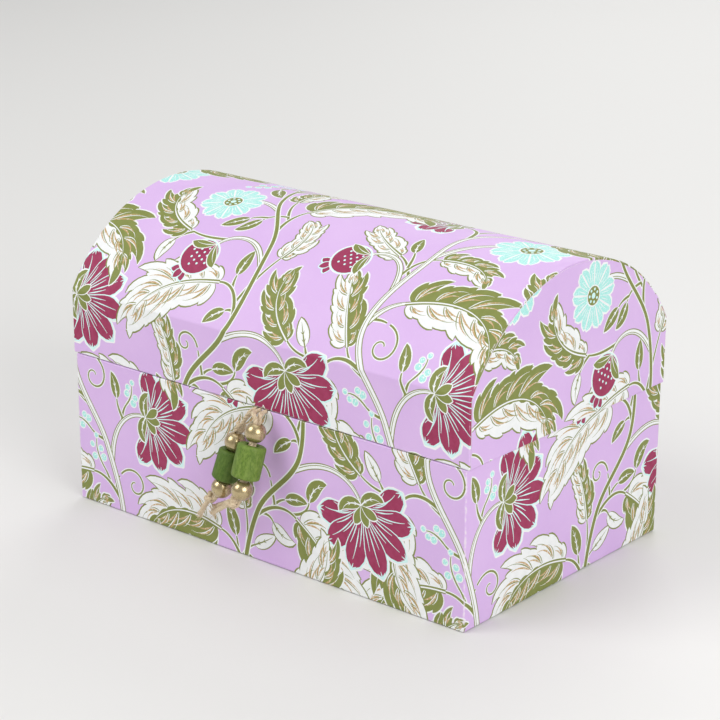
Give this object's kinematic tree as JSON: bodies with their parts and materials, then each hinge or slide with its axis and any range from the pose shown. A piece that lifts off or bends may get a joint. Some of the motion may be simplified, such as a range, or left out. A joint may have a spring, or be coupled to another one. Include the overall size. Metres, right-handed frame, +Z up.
{
  "type": "paper gift box",
  "caption": "Trunk-shaped gift box of paper-covered board with a hinged domed lid and a beaded twine pull at the front.",
  "frame": {"origin": "on the table, under the middle of the closed box (pull left out)", "axes": "+Z up, the box's front faces -Y, its length lies along X"},
  "size_m": [0.2056, 0.1455, 0.128],
  "materials": {
    "grey_board": "matte",
    "printed_paper": "matte",
    "underside_paper": "matte",
    "lining_paper": "matte",
    "hinge_paper": "matte",
    "jute_twine": "matte",
    "gold_bead": "satin",
    "green_bead": "matte"
  },
  "bodies": {
    "base": {"base_floor_board": "grey_board", "base_front_board": "grey_board", "base_back_board": "grey_board", "base_left_board": "grey_board", "base_right_board": "grey_board", "base_cover_paper": "printed_paper", "base_underside_paper": "underside_paper", "base_floor_lining": "lining_paper", "base_wall_lining": "lining_paper", "hinge_strip_lower": "hinge_paper"},
    "lid": {"lid_front_board": "grey_board", "lid_back_board": "grey_board", "lid_left_end_board": "grey_board", "lid_right_end_board": "grey_board", "lid_dome_board": "grey_board", "lid_cover_paper": "printed_paper", "lid_left_end_paper": "printed_paper", "lid_right_end_paper": "printed_paper", "lid_dome_lining": "lining_paper", "lid_left_end_lining": "lining_paper", "lid_right_end_lining": "lining_paper", "hinge_strip_upper": "hinge_paper", "twine_glued_ends": "jute_twine", "twine_patch": "lining_paper"},
    "pull_root": {"twine_root": "jute_twine"},
    "pull": {"twine_left": "jute_twine", "twine_right_front": "jute_twine", "twine_right_back": "jute_twine", "knot_left_upper": "jute_twine", "knot_left_lower": "jute_twine", "knot_right_lower": "jute_twine", "bead_left_upper": "gold_bead", "bead_left_lower": "gold_bead", "bead_right_upper": "gold_bead", "bead_right_lower": "gold_bead", "tube_bead_left": "green_bead", "tube_bead_right": "green_bead"}
  },
  "joints": [
    {"name": "lid_hinge", "type": "hinge", "parent": "base", "child": "lid", "pos_m": [0, 0.0635, 0.06415], "axis": [-1, 0, 0], "range_deg": [0, 175]},
    {"name": "pull_sway", "type": "hinge", "parent": "lid", "child": "pull_root", "pos_m": [0.0013, -0.0642, 0.0636], "axis": [0, -1, 0], "range_deg": [-55, 65]},
    {"name": "pull_lift", "type": "hinge", "parent": "pull_root", "child": "pull", "pos_m": [0, -0.0655, 0.0632], "axis": [-1, 0, 0], "range_deg": [0, 70]}
  ]
}
